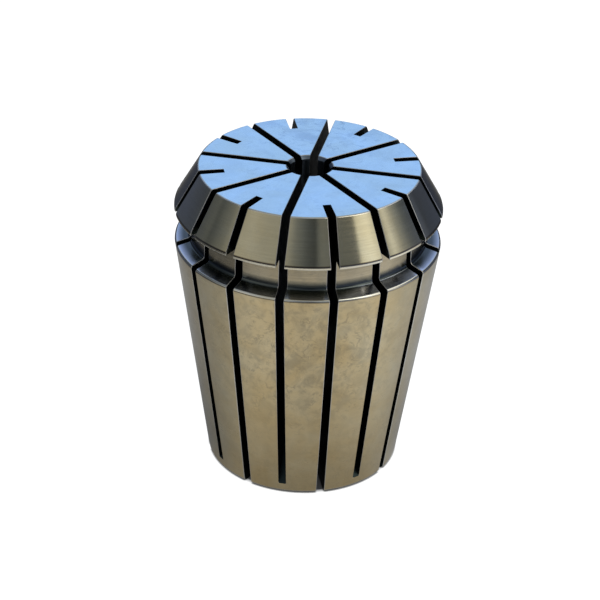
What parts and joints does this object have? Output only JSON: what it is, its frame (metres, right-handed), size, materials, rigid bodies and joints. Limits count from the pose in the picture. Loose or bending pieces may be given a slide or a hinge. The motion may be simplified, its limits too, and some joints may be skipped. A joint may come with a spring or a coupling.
{
  "type": "er collet",
  "caption": "Slotted spring collet with a long seating taper, an extraction groove, a steep nose cone and a central clamping bore.",
  "frame": {"origin": "centre of the small rear face, on the bore's axis, at the lowest point of the part as it stands on that face", "axes": "+Z along the bore from the rear face to the front face; +X along one of the slots cut from the front"},
  "size_m": [0.033, 0.033, 0.04],
  "materials": {
    "ground_steel": "ground and turned, bright, lightly stained"
  },
  "bodies": {
    "root": {"collet": "ground_steel"}
  },
  "joints": []
}
